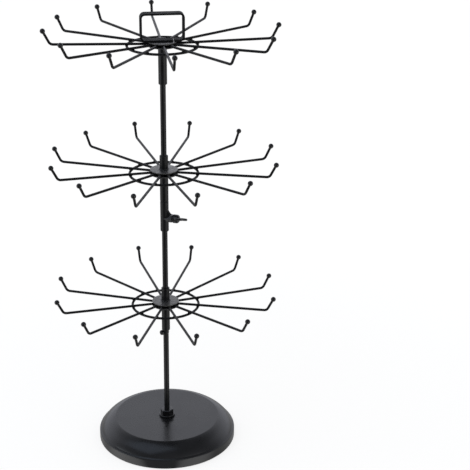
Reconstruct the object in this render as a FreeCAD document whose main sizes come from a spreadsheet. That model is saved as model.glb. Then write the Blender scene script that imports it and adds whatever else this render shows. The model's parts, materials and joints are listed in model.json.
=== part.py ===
# Three-tier jewellery stand of black coated steel, in millimetres, +Z up.
# A round base carries one upright post. Three tiers of upturned wire arms turn round the post.
# The bottom tier rests on a stop screw, the middle one on a collar that a wing screw clamps at any
# height, and the top one hangs over the post's end and carries a strip handle.
# The origin is the centre of the underside of the base, and the front of the stand is -Y.
import FreeCAD
import Part
import math
import os
import re
import Sketcher

LENGTHS = {
    # base
    "base_diameter": 152.6,
    "base_height": 24.5,
    "flat_top_diameter": 116.0,
    "rim_height": 12.0,
    "rim_step": 2.0,
    "rim_edge_radius": 2.4,
    "hem_width": 3.2,
    "shell_wall": 1.2,
    "pad_thickness": 0.8,
    "pad_inset": 1.2,
    "ballast_diameter": 96.0,
    "ballast_thickness": 6.0,
    # post and what holds it to the base
    "post_diameter": 6.0,
    "post_top": 457.3,
    "post_chamfer": 0.8,
    "post_end_projection": 2.0,
    "post_hole_clearance": 0.15,
    "base_nut_flats": 12.8,
    "base_nut_height": 7.8,
    "base_nut_flange_diameter": 17.8,
    "base_nut_flange_thickness": 2.2,
    "base_nut_chamfer": 0.7,
    "under_washer_diameter": 18.0,
    "under_washer_thickness": 1.6,
    "under_nut_flats": 10.0,
    "under_nut_height": 5.0,
    "under_nut_chamfer": 0.5,
    "thread_clearance": 0.05,
    # stop screw under the bottom tier
    "stop_height": 129.2,
    "stop_head_diameter": 5.6,
    "stop_head_length": 4.0,
    "stop_head_round": 2.2,
    "stop_shank_diameter": 3.0,
    # tiers
    "sleeve_diameter": 9.0,
    "running_clearance": 0.08,
    "sleeve_below": 34.6,
    "sleeve_above": 16.4,
    "sleeve_edge": 0.5,
    "top_sleeve_length": 45.2,
    "disc_diameter": 29.4,
    "disc_thickness": 1.2,
    "disc_edge_radius": 0.4,
    "wire_diameter": 2.7,
    "arm_start": 6.2,
    "elbow_radius": 5.0,
    "tip_circle_diameter": 239.4,
    "tip_height": 16.2,
    "ball_diameter": 5.4,
    "socket_gap": 0.05,
    "ring_diameter": 72.2,
    "ring_wire_diameter": 2.7,
    "seat_gap": 0.05,
    "rest_gap": 0.2,
    # clamp collar, its nut and the wing screw
    "collar_height": 250.2,
    "collar_length": 33.9,
    "screw_height": 15.0,
    "clamp_nut_flats": 8.0,
    "clamp_nut_height": 4.6,
    "clamp_nut_chamfer": 0.5,
    "screw_diameter": 5.0,
    "screw_tip_gap": 0.1,
    "screw_tip_chamfer": 0.7,
    "hub_gap": 0.8,
    "hub_diameter": 9.4,
    "hub_length": 7.0,
    "hub_edge_radius": 3.0,
    "wing_span": 24.0,
    "wing_length": 17.5,
    "wing_inset": 0.8,
    "wing_lean": 4.5,
    "wing_thickness": 2.4,
    "wing_round": 2.8,
    # handle
    "handle_width": 45.4,
    "handle_height": 29.2,
    "handle_corner_radius": 5.0,
    "strip_width": 11.0,
    "strip_thickness": 2.0,
    "seam_offset": 11.4,
    "seam_gap": 1.6,
    # what every cut runs past the material
    "cut_overrun": 2.0,
}
ANGLES = {
    "shoulder_start_angle": 12.0,
    "rim_slope_angle": 20.0,
    "base_nut_turn_angle": -11.0,
    "arm_rise_angle": 1.3,
    "hook_angle": 63.0,
    "bottom_turn_angle": 14.96,
    "middle_turn_angle": 15.63,
    "top_turn_angle": 5.45,
    "handle_turn_angle": 5.45,
    "stop_turn_angle": 200.0,
    "screw_turn_angle": -20.0,
    "wing_tilt_angle": -21.0,
}
COUNTS = {
    "arm_count": 12,
}

doc = FreeCAD.newDocument("jewellery_stand")
sheet = doc.addObject("Spreadsheet::Sheet", "Sizes")
SIZES = {**LENGTHS, **ANGLES, **COUNTS}
for row, (name, number) in enumerate(SIZES.items(), start=1):
    sheet.set("A%d" % row, name)
    sheet.set("B%d" % row, str(number))
    sheet.setAlias("B%d" % row, name)
doc.recompute()

pieces = []


# Sizes and placing

def expr(text):
    """The text with each size's name turned into a reference to its cell."""
    return re.sub(r"[a-z_]+", lambda word: "Sizes." + word[0] if word[0] in SIZES else word[0], text)


def value(text):
    """The number that a sum of sizes comes to."""
    return float(sheet.evalExpression(expr(text)))


def bind(item, sums):
    """Ties each property of an item to a sum of sizes."""
    for name, text in sums.items():
        item.setExpression(name, expr(text))


def place(item, label, height, turn):
    """Names a piece, lifts it to its height and turns it about the post's axis."""
    item.Label = label
    # A turn of zero keeps no axis, so the axis is set with a turn of one degree that the sum replaces.
    item.Placement = FreeCAD.Placement(FreeCAD.Vector(), FreeCAD.Vector(0, 0, 1), 1)
    bind(item, {"Placement.Base.z": height, "Placement.Rotation.Angle": turn})
    pieces.append(item)
    return item


def new_body(label, height="0", turn="0"):
    """An empty piece that stands on the post's axis."""
    return place(doc.addObject("PartDesign::Body", label), label, height, turn)


# Sketches

def sketch_on(body, role, name):
    """A sketch on one of the piece's own planes, named by its role."""
    sketch = body.newObject("Sketcher::SketchObject", body.Name + "_" + name)
    plane = next(feature for feature in body.Origin.OriginFeatures if feature.Role == role)
    sketch.AttachmentSupport = [(plane, "")]
    sketch.MapMode = "FlatFace"
    return sketch


def tie(sketch, constraint, text):
    """Adds a constraint whose number is a sum of sizes."""
    index = sketch.addConstraint(constraint)
    sketch.setExpression("Constraints[%d]" % index, expr(text))


def tie_point(sketch, geometry, end, x, y):
    """Fixes one end of a line, an arc or a circle's centre (end 3) at x, y."""
    for kind, axis, text in (("DistanceX", -2, x), ("DistanceY", -1, y)):
        if text == "0":
            sketch.addConstraint(Sketcher.Constraint("PointOnObject", geometry, end, axis))
        else:
            tie(sketch, Sketcher.Constraint(kind, -1, 1, geometry, end, value(text)), text)


def circle(sketch, diameter, x="0", y="0"):
    """A circle of a given diameter about x, y."""
    centre = FreeCAD.Vector(value(x), value(y), 0)
    radius = diameter + " / 2"
    index = sketch.addGeometry(Part.Circle(centre, FreeCAD.Vector(0, 0, 1), value(radius)))
    tie(sketch, Sketcher.Constraint("Radius", index, value(radius)), radius)
    tie_point(sketch, index, 3, x, y)


def arc_through(start, end, radius):
    """The arc that bulges to the right of the way from start to end, so it turns left."""
    way = end - start
    left = FreeCAD.Vector(-way.y, way.x, 0).normalize()
    centre = (start + end) * 0.5 + left * math.sqrt(radius ** 2 - way.Length ** 2 / 4)
    angles = [math.atan2(point.y - centre.y, point.x - centre.x) for point in (start, end)]
    return Part.ArcOfCircle(Part.Circle(centre, FreeCAD.Vector(0, 0, 1), radius), *angles)


def outline(sketch, corners):
    """A closed outline, anticlockwise. A corner is x, y and, where an arc leaves it, the arc's radius."""
    points = [FreeCAD.Vector(value(corner[0]), value(corner[1]), 0) for corner in corners]
    for index, corner in enumerate(corners):
        start = points[index]
        end = points[(index + 1) % len(points)]
        if len(corner) == 3:
            sketch.addGeometry(arc_through(start, end, value(corner[2])))
            tie(sketch, Sketcher.Constraint("Radius", index, value(corner[2])), corner[2])
        else:
            sketch.addGeometry(Part.LineSegment(start, end))
    for index, corner in enumerate(corners):
        before = (index - 1) % len(corners)
        sketch.addConstraint(Sketcher.Constraint("Coincident", before, 2, index, 1))
        tie_point(sketch, index, 1, corner[0], corner[1])


def hexagon(sketch, flats):
    """A regular hexagon about the origin with two corners on the sketch's first axis."""
    radius = flats + " / 2 / cos(30)"
    corners = [FreeCAD.Vector(math.cos(math.radians(60 * turn)), math.sin(math.radians(60 * turn)), 0)
               for turn in range(6)]
    corners = [corner * value(radius) for corner in corners]
    for turn in range(6):
        sketch.addGeometry(Part.LineSegment(corners[turn], corners[(turn + 1) % 6]))
    guide = sketch.addGeometry(Part.Circle(FreeCAD.Vector(), FreeCAD.Vector(0, 0, 1), value(radius)), True)
    for turn in range(6):
        sketch.addConstraint(Sketcher.Constraint("Coincident", turn, 2, (turn + 1) % 6, 1))
        sketch.addConstraint(Sketcher.Constraint("PointOnObject", turn, 1, guide))
    for turn in range(1, 6):
        sketch.addConstraint(Sketcher.Constraint("Equal", 0, turn))
    sketch.addConstraint(Sketcher.Constraint("Coincident", guide, 3, -1, 1))
    sketch.addConstraint(Sketcher.Constraint("PointOnObject", 0, 1, -1))
    tie(sketch, Sketcher.Constraint("Radius", guide, value(radius)), radius)


# Features

def pad(body, sketch, length, midplane=False):
    """Material from a sketch along its normal, or to both sides of it."""
    feature = body.newObject("PartDesign::Pad", sketch.Name + "_pad")
    feature.Profile = sketch
    feature.Midplane = midplane
    bind(feature, {"Length": length})
    return feature


def pocket(body, sketch, length, midplane=False, forwards=False):
    """A cut from a sketch against its normal, along it, or to both sides. It has to take material away."""
    doc.recompute()
    before = body.Shape.Volume
    feature = body.newObject("PartDesign::Pocket", sketch.Name + "_cut")
    feature.Profile = sketch
    feature.Midplane = midplane
    feature.Reversed = forwards
    bind(feature, {"Length": length})
    doc.recompute()
    if not body.Shape.Volume < before:
        raise ValueError(feature.Name + " cuts nothing")
    return feature


def turned(body, sketch, axis, cut=False):
    """A full turn of a sketch about its first axis (H_Axis) or its second one (V_Axis)."""
    kind = "PartDesign::Groove" if cut else "PartDesign::Revolution"
    feature = body.newObject(kind, sketch.Name + "_turn")
    feature.Profile = sketch
    feature.ReferenceAxis = (sketch, [axis])
    feature.Angle = 360
    return feature


def dress(body, kind, size, chosen):
    """A fillet or chamfer on the edges of the piece so far that a test chooses."""
    doc.recompute()
    base = body.Tip
    edges = ["Edge%d" % number for number, edge in enumerate(base.Shape.Edges, start=1) if chosen(edge)]
    feature = body.newObject("PartDesign::" + kind, "%s_%s" % (base.Name, kind))
    feature.Base = (base, edges)
    bind(feature, {"Radius" if kind == "Fillet" else "Size": size})
    return feature


def near(first, second):
    """True where two lengths are the same but for rounding."""
    return math.isclose(first, second, rel_tol=1e-6, abs_tol=1e-6)


def rim_at(height, diameter=None):
    """A test for round edges at a height on the piece's own axis, and of one diameter if given."""
    def chosen(edge):
        if not isinstance(edge.Curve, Part.Circle) or not near(edge.CenterOfMass.z, value(height)):
            return False
        return diameter is None or near(edge.Curve.Radius, value(diameter) / 2)
    return chosen


def runs_along(direction):
    """A test for straight edges that run along a direction."""
    def chosen(edge):
        if not isinstance(edge.Curve, Part.Line):
            return False
        return near(abs(edge.tangentAt(edge.FirstParameter).dot(direction)), 1)
    return chosen


def plate(label, height, outer, thickness, bore=None):
    """A round plate or tube that stands on a height, with a bore if one is given."""
    body = new_body(label, height)
    sketch = sketch_on(body, "XY_Plane", "outline")
    circle(sketch, outer)
    if bore:
        circle(sketch, bore)
    pad(body, sketch, thickness)
    return body


def hex_nut(body, role, axis, flats, height, chamfer, bore):
    """A hexagon nut whose first face lies on the plane, with chamfered corners outside and a plain bore."""
    profile = sketch_on(body, role, "hexagon")
    hexagon(profile, flats)
    circle(profile, bore)
    pad(body, profile, height)
    corner_cut = sketch_on(body, "XZ_Plane", "corner")
    reach = "(%s / 2 / cos(30) + cut_overrun)" % flats
    run = "((%s - %s / 2) * tan(30) + %s)" % (reach, flats, chamfer)
    points = [("%s / 2" % flats, height), (reach, "%s - %s" % (height, run)), (reach, height)]
    if axis == "H_Axis":
        points = [(along, across) for across, along in reversed(points)]
    outline(corner_cut, points)
    turned(body, corner_cut, axis, cut=True)


# Base

shell_underside = "(base_height - shell_wall)"
ballast_underside = "(%s - ballast_thickness)" % shell_underside
washer_underside = "(%s - under_washer_thickness)" % ballast_underside
under_nut_underside = "(%s - under_nut_height)" % washer_underside
post_foot = "(%s - post_end_projection)" % under_nut_underside
post_hole = "(post_diameter + 2 * post_hole_clearance)"
threaded_bore = "(post_diameter + 2 * thread_clearance)"


def base_shell():
    """A pressed dish: a flat top, a round shoulder, a ledge that slopes outwards and a rim with a hem."""
    body = new_body("base_shell")
    shoulder_run = "(base_diameter / 2 - rim_step - flat_top_diameter / 2)"
    shoulder_drop = "(base_height - rim_height)"
    half_turn = "(atan(%s / %s) - shoulder_start_angle * 1 deg)" % (shoulder_drop, shoulder_run)
    shoulder_radius = "(sqrt(%s^2 + %s^2) / 2 / sin(%s))" % (shoulder_run, shoulder_drop, half_turn)
    rim_corner = "(rim_height - rim_step * tan(rim_slope_angle))"
    section = sketch_on(body, "XZ_Plane", "section")
    outline(section, [
        (post_hole + " / 2", "pad_thickness"),
        ("base_diameter / 2", "pad_thickness"),
        ("base_diameter / 2", rim_corner),
        ("base_diameter / 2 - rim_step", "rim_height", shoulder_radius),
        ("flat_top_diameter / 2", "base_height"),
        (post_hole + " / 2", "base_height"),
    ])
    turned(body, section, "V_Axis")
    dress(body, "Fillet", "rim_edge_radius", rim_at(rim_corner, "base_diameter"))
    # Inside, an arc about the shoulder's own centre keeps the wall even.
    inner_radius = "(%s - shell_wall)" % shoulder_radius
    centre_out = "(flat_top_diameter / 2 - %s * sin(shoulder_start_angle))" % shoulder_radius
    centre_down = "(%s * cos(shoulder_start_angle))" % shoulder_radius
    hem_inside = "(base_diameter / 2 - hem_width)"
    hem_drop = "(%s - sqrt(%s^2 - (%s - %s)^2))" % (centre_down, inner_radius, hem_inside, centre_out)
    flat_inside = "(%s + sqrt(%s^2 - (%s - shell_wall)^2))" % (centre_out, inner_radius, centre_down)
    hollow = sketch_on(body, "XZ_Plane", "hollow")
    outline(hollow, [
        ("0", "pad_thickness - cut_overrun"),
        (hem_inside, "pad_thickness - cut_overrun"),
        (hem_inside, "base_height - %s" % hem_drop, inner_radius),
        (flat_inside, shell_underside),
        ("0", shell_underside),
    ])
    turned(body, hollow, "V_Axis", cut=True)


base_shell()
plate("base_pad", "0", "(base_diameter - 2 * pad_inset)", "pad_thickness")
plate("ballast_plate", ballast_underside, "ballast_diameter", "ballast_thickness", post_hole)
plate("under_washer", washer_underside, "under_washer_diameter", "under_washer_thickness", post_hole)


# Post, its nuts and the stop screw

def post():
    """A round rod from below the base to the top tier, drilled across for the stop screw."""
    body = new_body("post", post_foot, "stop_turn_angle")
    length = "(post_top - %s)" % post_foot
    section = sketch_on(body, "XY_Plane", "section")
    circle(section, "post_diameter")
    pad(body, section, length)
    dress(body, "Chamfer", "post_chamfer", lambda edge: isinstance(edge.Curve, Part.Circle))
    cross_hole = sketch_on(body, "YZ_Plane", "cross_hole")
    circle(cross_hole, "(stop_shank_diameter + 2 * thread_clearance)", "0", "stop_height - %s" % post_foot)
    pocket(body, cross_hole, "post_diameter + 2 * cut_overrun", midplane=True)


def stop_screw():
    """A round-headed screw across the post, its head outside and its shank's end flush."""
    body = new_body("stop_screw", "stop_height", "stop_turn_angle")
    head_start = "post_diameter / 2 + seat_gap"
    head_end = head_start + " + stop_head_length"
    section = sketch_on(body, "XZ_Plane", "section")
    outline(section, [
        ("-post_diameter / 2", "0"),
        (head_end, "0"),
        (head_end, "stop_head_diameter / 2"),
        (head_start, "stop_head_diameter / 2"),
        (head_start, "stop_shank_diameter / 2"),
        ("-post_diameter / 2", "stop_shank_diameter / 2"),
    ])
    turned(body, section, "H_Axis")
    dress(body, "Fillet", "stop_head_round", lambda edge: isinstance(edge.Curve, Part.Circle)
          and near(edge.CenterOfMass.x, value(head_end)))


def base_nut():
    """The hexagon nut with a flange that the post's foot stands on."""
    body = new_body("base_nut", "base_height", "base_nut_turn_angle")
    hex_nut(body, "XY_Plane", "V_Axis", "base_nut_flats", "base_nut_height", "base_nut_chamfer",
            threaded_bore)
    flange = sketch_on(body, "XY_Plane", "flange")
    circle(flange, "base_nut_flange_diameter")
    circle(flange, threaded_bore)
    pad(body, flange, "base_nut_flange_thickness")
    dress(body, "Fillet", "disc_edge_radius",
          rim_at("base_nut_flange_thickness", "base_nut_flange_diameter"))


def under_nut():
    """The plain nut that draws the post down from inside the base."""
    body = new_body("under_nut", under_nut_underside)
    hex_nut(body, "XY_Plane", "V_Axis", "under_nut_flats", "under_nut_height", "under_nut_chamfer",
            threaded_bore)


post()
stop_screw()
base_nut()
under_nut()

# Tiers

sleeve_bore = "(post_diameter + 2 * running_clearance)"
disc_bore = "(sleeve_diameter + 2 * seat_gap)"
bottom_underside = "(stop_height + stop_head_diameter / 2 + rest_gap + sleeve_below)"
middle_underside = "(collar_height + collar_length + rest_gap + sleeve_below)"
top_underside = "(post_top + rest_gap - disc_thickness)"
# The rising arms meet the upper disc at its rim and the lower disc at their inner ends.
rise_in_hub = "(disc_diameter / 2 - arm_start) * tan(arm_rise_angle)"
wire_depth = "wire_diameter / cos(arm_rise_angle)"
disc_spacing = "(disc_thickness + 2 * seat_gap + %s + %s)" % (wire_depth, rise_in_hub)


def hub_discs(label, underside):
    """Two round plates of one size, one above the arms and one below them."""
    body = new_body(label, "%s - %s" % (underside, disc_spacing))
    for name, lift in (("lower", "0"), ("upper", disc_spacing)):
        sketch = sketch_on(body, "XY_Plane", name)
        bind(sketch, {"AttachmentOffset.Base.z": lift})
        circle(sketch, "disc_diameter")
        circle(sketch, disc_bore)
        pad(body, sketch, "disc_thickness")
    dress(body, "Fillet", "disc_edge_radius", lambda edge: isinstance(edge.Curve, Part.Circle)
          and near(edge.Curve.Radius, value("disc_diameter / 2")))


def arm(label, level, turn):
    """A straight wire that rises a little outwards and is bent up at its outer end."""
    body = new_body(label, level, turn)
    rise = math.radians(ANGLES["arm_rise_angle"])
    hook = math.radians(ANGLES["hook_angle"])
    start = FreeCAD.Vector(value("arm_start"), 0, 0)
    tip = FreeCAD.Vector(value("tip_circle_diameter / 2"), value("tip_height"), 0)
    out = FreeCAD.Vector(math.cos(rise), math.sin(rise), 0)
    upturn = FreeCAD.Vector(math.cos(hook), math.sin(hook), 0)
    chord = tip - start
    elbow = start + out * (chord.cross(upturn).z / out.cross(upturn).z)
    setback = value("elbow_radius") * math.tan((hook - rise) / 2)
    bend_start = elbow - out * setback
    bend_end = elbow + upturn * setback
    path = sketch_on(body, "XZ_Plane", "path")
    path.addGeometry(Part.LineSegment(start, bend_start))
    path.addGeometry(arc_through(bend_start, bend_end, value("elbow_radius")))
    path.addGeometry(Part.LineSegment(bend_end, tip))
    path.addConstraint(Sketcher.Constraint("Tangent", 0, 2, 1, 1))
    path.addConstraint(Sketcher.Constraint("Tangent", 1, 2, 2, 1))
    tie(path, Sketcher.Constraint("Radius", 1, value("elbow_radius")), "elbow_radius")
    tie(path, Sketcher.Constraint("Angle", 0, rise), "arm_rise_angle")
    tie(path, Sketcher.Constraint("Angle", 2, hook), "hook_angle")
    tie_point(path, 0, 1, "arm_start", "0")
    tie_point(path, 2, 2, "tip_circle_diameter / 2", "tip_height")
    section = sketch_on(body, "YZ_Plane", "section")
    circle(section, "wire_diameter")
    section.AttachmentOffset = FreeCAD.Placement(FreeCAD.Vector(), FreeCAD.Vector(1, 0, 0), -1)
    bind(section, {"AttachmentOffset.Base.z": "arm_start",
                   "AttachmentOffset.Rotation.Angle": "-arm_rise_angle"})
    sweep = body.newObject("PartDesign::AdditivePipe", label + "_wire")
    sweep.Profile = section
    sweep.Spine = (path, ["Edge1", "Edge2", "Edge3"])


def ball_tips(label, level, turn):
    """A ball on the end of each arm, with a blind hole that the wire is pushed into."""
    body = new_body(label, level, turn)
    socket_radius = "(wire_diameter / 2 + socket_gap)"
    mouth = "-sqrt((ball_diameter / 2)^2 - %s^2)" % socket_radius

    def point(along, across):
        """A place along and across the line of the hook, from the ball's centre."""
        return ("tip_circle_diameter / 2 + %s * cos(hook_angle) - %s * sin(hook_angle)" % (along, across),
                "tip_height + %s * sin(hook_angle) + %s * cos(hook_angle)" % (along, across))

    section = sketch_on(body, "XZ_Plane", "section")
    outline(section, [
        point("socket_gap", "0"),
        point("ball_diameter / 2", "0") + ("ball_diameter / 2",),
        point(mouth, socket_radius),
        point("socket_gap", socket_radius),
    ])
    first = section.Geometry[0]
    axis = section.addGeometry(Part.LineSegment(first.StartPoint, first.EndPoint), True)
    section.addConstraint(Sketcher.Constraint("Coincident", axis, 1, 0, 1))
    section.addConstraint(Sketcher.Constraint("Coincident", axis, 2, 0, 2))
    ball = turned(body, section, "Axis0")
    around = body.newObject("PartDesign::PolarPattern", label + "_around")
    around.Originals = [ball]
    around.Axis = (next(item for item in body.Origin.OriginFeatures if item.Role == "Z_Axis"), [""])
    around.Angle = 360
    bind(around, {"Occurrences": "arm_count"})
    body.Tip = around


def tier(name, underside, turn, sleeve_foot, sleeve_length):
    """A sleeve, two hub discs with the arms between them, a ring under the arms, and the balls."""
    sleeve = plate(name + "_sleeve", sleeve_foot, "sleeve_diameter", sleeve_length, sleeve_bore)
    dress(sleeve, "Chamfer", "sleeve_edge", rim_at("0", "sleeve_diameter"))
    hub_discs(name + "_discs", underside)
    level = "(%s - seat_gap - %s / 2 - %s)" % (underside, wire_depth, rise_in_hub)
    for index in range(COUNTS["arm_count"]):
        arm("%s_arm_%02d" % (name, index + 1), level, "%s + %d * 360 / arm_count" % (turn, index))
    ball_tips(name + "_tips", level, turn)
    rise_to_ring = "(ring_diameter / 2 - arm_start) * tan(arm_rise_angle)"
    below_arms = "(wire_diameter + ring_wire_diameter) / 2 / cos(arm_rise_angle) + seat_gap"
    ring = doc.addObject("Part::Torus", name + "_ring")
    place(ring, name + "_ring", "%s + %s - (%s)" % (level, rise_to_ring, below_arms), "0")
    bind(ring, {"Radius1": "ring_diameter / 2", "Radius2": "ring_wire_diameter / 2"})


for name, underside in (("bottom", bottom_underside), ("middle", middle_underside)):
    tier(name, underside, name + "_turn_angle", underside + " - sleeve_below",
         "sleeve_below + sleeve_above")
tier("top", top_underside, "top_turn_angle", top_underside + " + disc_thickness - top_sleeve_length",
     "top_sleeve_length")

# Clamp collar, its nut and the wing screw

nut_face = "(sleeve_diameter / 2 + clamp_nut_height)"
hub_start = "(%s + hub_gap)" % nut_face
screw_bore = "(screw_diameter + 2 * thread_clearance)"


def clamp_collar():
    """A short tube on the post, drilled from one side for the wing screw."""
    body = plate("clamp_collar", "collar_height", "sleeve_diameter", "collar_length", sleeve_bore)
    bind(body, {"Placement.Rotation.Angle": "screw_turn_angle"})
    dress(body, "Chamfer", "sleeve_edge", rim_at("0", "sleeve_diameter"))
    side_hole = sketch_on(body, "YZ_Plane", "side_hole")
    circle(side_hole, screw_bore, "0", "screw_height")
    pocket(body, side_hole, "sleeve_diameter / 2 + cut_overrun", forwards=True)


def clamp_nut():
    """A hexagon nut whose weld reaches in round the collar's side."""
    body = new_body("clamp_nut", "collar_height + screw_height", "screw_turn_angle")
    hex_nut(body, "YZ_Plane", "H_Axis", "clamp_nut_flats", nut_face, "clamp_nut_chamfer", screw_bore)
    saddle = sketch_on(body, "XY_Plane", "saddle")
    circle(saddle, "(sleeve_diameter + 2 * seat_gap)")
    pocket(body, saddle, "clamp_nut_flats + 2 * cut_overrun", midplane=True)


def wing_screw():
    """A screw with a round hub and two flat wings that lean outwards."""
    body = new_body("wing_screw", "collar_height + screw_height", "screw_turn_angle")
    tip = "post_diameter / 2 + screw_tip_gap"
    hub_end = "%s + hub_length" % hub_start
    section = sketch_on(body, "XZ_Plane", "section")
    outline(section, [
        (tip, "0"),
        (hub_end, "0"),
        (hub_end, "hub_diameter / 2"),
        (hub_start, "hub_diameter / 2"),
        (hub_start, "screw_diameter / 2"),
        (tip + " + screw_tip_chamfer", "screw_diameter / 2"),
        (tip, "screw_diameter / 2 - screw_tip_chamfer"),
    ])
    turned(body, section, "H_Axis")
    dress(body, "Fillet", "hub_edge_radius", lambda edge: isinstance(edge.Curve, Part.Circle)
          and near(edge.CenterOfMass.x, value(hub_end)))
    wings = sketch_on(body, "XY_Plane", "wings")
    wings.AttachmentOffset = FreeCAD.Placement(FreeCAD.Vector(), FreeCAD.Vector(1, 0, 0), -1)
    bind(wings, {"AttachmentOffset.Rotation.Angle": "wing_tilt_angle"})
    outline(wings, [
        (hub_start + " + wing_inset", "-hub_diameter / 4"),
        (hub_start + " + wing_lean", "-wing_span / 2"),
        (hub_start + " + wing_length", "-wing_span / 2"),
        (hub_end, "-hub_diameter / 4"),
        (hub_end, "hub_diameter / 4"),
        (hub_start + " + wing_length", "wing_span / 2"),
        (hub_start + " + wing_lean", "wing_span / 2"),
        (hub_start + " + wing_inset", "hub_diameter / 4"),
    ])
    pad(body, wings, "wing_thickness", midplane=True)
    tilt = math.radians(ANGLES["wing_tilt_angle"])
    outwards = FreeCAD.Vector(0, math.cos(tilt), math.sin(tilt))
    through = runs_along(FreeCAD.Vector(0, -math.sin(tilt), math.cos(tilt)))
    dress(body, "Fillet", "wing_round", lambda edge: through(edge)
          and near(abs(edge.CenterOfMass.dot(outwards)), value("wing_span / 2")))


clamp_collar()
clamp_nut()
wing_screw()

# Handle

def handle():
    """A flat strip bent to a rectangular loop, its ends left a little apart in the lower side."""
    body = new_body("handle", top_underside + " + disc_thickness", "handle_turn_angle")
    across = runs_along(FreeCAD.Vector(0, 1, 0))
    outside = sketch_on(body, "XZ_Plane", "outside")
    outline(outside, [
        ("-handle_width / 2", "0"),
        ("handle_width / 2", "0"),
        ("handle_width / 2", "handle_height"),
        ("-handle_width / 2", "handle_height"),
    ])
    pad(body, outside, "strip_width", midplane=True)
    dress(body, "Fillet", "handle_corner_radius", across)
    inside = sketch_on(body, "XZ_Plane", "inside")
    outline(inside, [
        ("strip_thickness - handle_width / 2", "strip_thickness"),
        ("handle_width / 2 - strip_thickness", "strip_thickness"),
        ("handle_width / 2 - strip_thickness", "handle_height - strip_thickness"),
        ("strip_thickness - handle_width / 2", "handle_height - strip_thickness"),
    ])
    pocket(body, inside, "strip_width + 2 * cut_overrun", midplane=True)
    inner_corner = value("handle_width / 2 - strip_thickness")
    dress(body, "Fillet", "handle_corner_radius - strip_thickness", lambda edge: across(edge)
          and near(abs(edge.CenterOfMass.x), inner_corner))
    seam = sketch_on(body, "XZ_Plane", "seam")
    outline(seam, [
        ("seam_offset - seam_gap / 2", "-cut_overrun"),
        ("seam_offset + seam_gap / 2", "-cut_overrun"),
        ("seam_offset + seam_gap / 2", "strip_thickness + cut_overrun"),
        ("seam_offset - seam_gap / 2", "strip_thickness + cut_overrun"),
    ])
    pocket(body, seam, "strip_width + 2 * cut_overrun", midplane=True)


handle()

# Checks and files

doc.recompute()
for item in doc.Objects:
    if "Invalid" in item.State or "Error" in item.State:
        raise ValueError("%s failed: %s" % (item.Name, item.State))
for piece in pieces:
    if piece.Shape.isNull() or not piece.Shape.isValid():
        raise ValueError(piece.Label + " has no valid shape")
os.makedirs("parts", exist_ok=True)
for piece in pieces:
    piece.Shape.exportStep("parts/%s.step" % piece.Label)
print(len(pieces), "pieces written")
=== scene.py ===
import json
import bmesh
import bpy
import numpy as np
from mathutils import Matrix, Vector


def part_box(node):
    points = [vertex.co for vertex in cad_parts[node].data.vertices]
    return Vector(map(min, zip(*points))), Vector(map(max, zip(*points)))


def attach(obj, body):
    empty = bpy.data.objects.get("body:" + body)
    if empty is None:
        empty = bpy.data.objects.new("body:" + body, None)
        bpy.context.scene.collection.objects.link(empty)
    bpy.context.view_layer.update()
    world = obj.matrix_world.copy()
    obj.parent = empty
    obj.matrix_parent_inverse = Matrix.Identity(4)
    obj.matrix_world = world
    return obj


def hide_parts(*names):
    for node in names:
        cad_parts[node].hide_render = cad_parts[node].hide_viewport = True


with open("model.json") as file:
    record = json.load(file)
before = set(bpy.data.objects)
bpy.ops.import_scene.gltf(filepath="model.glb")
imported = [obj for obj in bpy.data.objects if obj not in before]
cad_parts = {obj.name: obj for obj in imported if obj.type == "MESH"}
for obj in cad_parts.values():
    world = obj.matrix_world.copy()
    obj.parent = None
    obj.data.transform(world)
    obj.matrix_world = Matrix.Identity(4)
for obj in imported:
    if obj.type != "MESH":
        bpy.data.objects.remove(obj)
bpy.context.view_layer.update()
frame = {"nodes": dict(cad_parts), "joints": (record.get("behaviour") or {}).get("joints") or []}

# Dish: the round foot of the stand. It is pressed from sheet steel to a flat top, a round shoulder, a
# small ledge and an upright rim with a hem, and it is sprayed with a smooth satin black paint.
mm = 0.001
dish_low, dish_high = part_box("base_shell")
dish_radius = dish_high.x
dish_flat_radius = 58 * mm
dish_flat_round = 4 * mm
dish_shoulder_start = np.radians(12)
dish_rim_top = 12 * mm
dish_ledge = 2 * mm
dish_ledge_slope = np.radians(20)
dish_rim_round = 2.4 * mm
dish_groove_round = 0.8 * mm
dish_hem = 3.2 * mm
dish_hem_round = 0.8 * mm
dish_sheet = 1.2 * mm
dish_hole_radius = 3.15 * mm
dish_sides = 192
dish_edge_steps = 6
dish_shoulder_steps = 28
dish_inside_steps = 14
corner_steps = 7
paint_dark = (0.0075, 0.0078, 0.0090, 1)
paint_light = (0.0125, 0.0129, 0.0144, 1)
paint_smoothest = 0.24
paint_roughest = 0.31
paint_drift = 30 * mm
paint_drift_detail = 4
paint_drift_share = 0.6
paint_edge_share = 0.6
paint_peel = 2.2 * mm
paint_peel_depth = 0.0015 * mm
noise_detail = 2
noise_low = 0.3
noise_high = 0.7
merge_distance = 0.0005 * mm
crease_angle = np.radians(40)


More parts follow.
